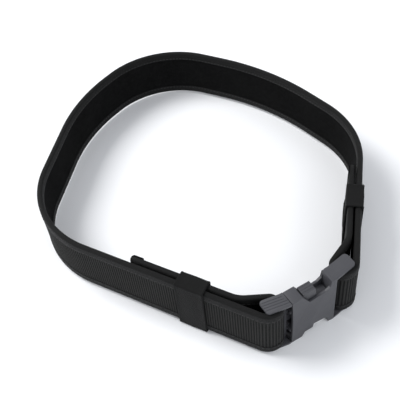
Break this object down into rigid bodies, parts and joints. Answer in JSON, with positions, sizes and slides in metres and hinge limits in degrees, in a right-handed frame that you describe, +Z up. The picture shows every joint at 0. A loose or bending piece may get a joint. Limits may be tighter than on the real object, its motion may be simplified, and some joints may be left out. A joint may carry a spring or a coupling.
{
  "type": "belt",
  "caption": "Padded ribbed-webbing belt standing on edge in a closed loop, with a wide side-release plastic buckle, folded-back tails and sliding keeper sleeves",
  "frame": {"origin": "on the resting plane, under the middle of the belt's box", "axes": "+X along the buckle from its male half to its housing, +Y from the buckle to the back of the loop, +Z up along the belt's width"},
  "size_m": [0.2836, 0.3382, 0.055],
  "materials": {
    "core": "stiff woven",
    "webbing": "ribbed nylon",
    "lining": "loop pile",
    "binding": "plain tape",
    "thread": "thread",
    "hook": "hook tape",
    "end_tape": "plain tape",
    "keeper": "fine plain weave",
    "buckle": "fine grain",
    "button": "fine grain"
  },
  "bodies": {
    "belt": {"stiffener_core": "core", "webbing_face": "webbing", "loop_lining": "lining", "top_binding": "binding", "bottom_binding": "binding", "outer_top_stitching": "thread", "outer_bottom_stitching": "thread", "inner_top_stitching": "thread", "inner_bottom_stitching": "thread", "left_hook_strip": "hook", "right_hook_strip": "hook", "left_end_tape": "end_tape", "right_end_tape": "end_tape", "buckle_housing": "buckle", "male_frame": "buckle"},
    "upper_button": {"upper_prong": "button"},
    "lower_button": {"lower_prong": "button"},
    "left_sleeve": {"left_keeper": "keeper", "left_keeper_seam": "keeper"},
    "right_sleeve": {"right_keeper": "keeper", "right_keeper_seam": "keeper"}
  },
  "joints": [
    {"name": "upper_release", "type": "hinge", "parent": "belt", "child": "upper_button", "pos_m": [-0.01784, -0.16186, 0.04], "axis": [0, 1, 0], "range_deg": [0, 11], "stiffness_Nm_per_rad": 1.2},
    {"name": "lower_release", "type": "hinge", "parent": "belt", "child": "lower_button", "pos_m": [-0.01784, -0.16186, 0.015], "axis": [0, -1, 0], "range_deg": [0, 11], "stiffness_Nm_per_rad": 1.2},
    {"name": "left_keeper_slide", "type": "slide", "parent": "belt", "child": "left_sleeve", "axis": [-0.5286, 0.8489, 0], "range_m": [-0.015, 0.03]},
    {"name": "right_keeper_slide", "type": "slide", "parent": "belt", "child": "right_sleeve", "axis": [0.6516, 0.7586, 0], "range_m": [-0.02, 0.01]}
  ]
}
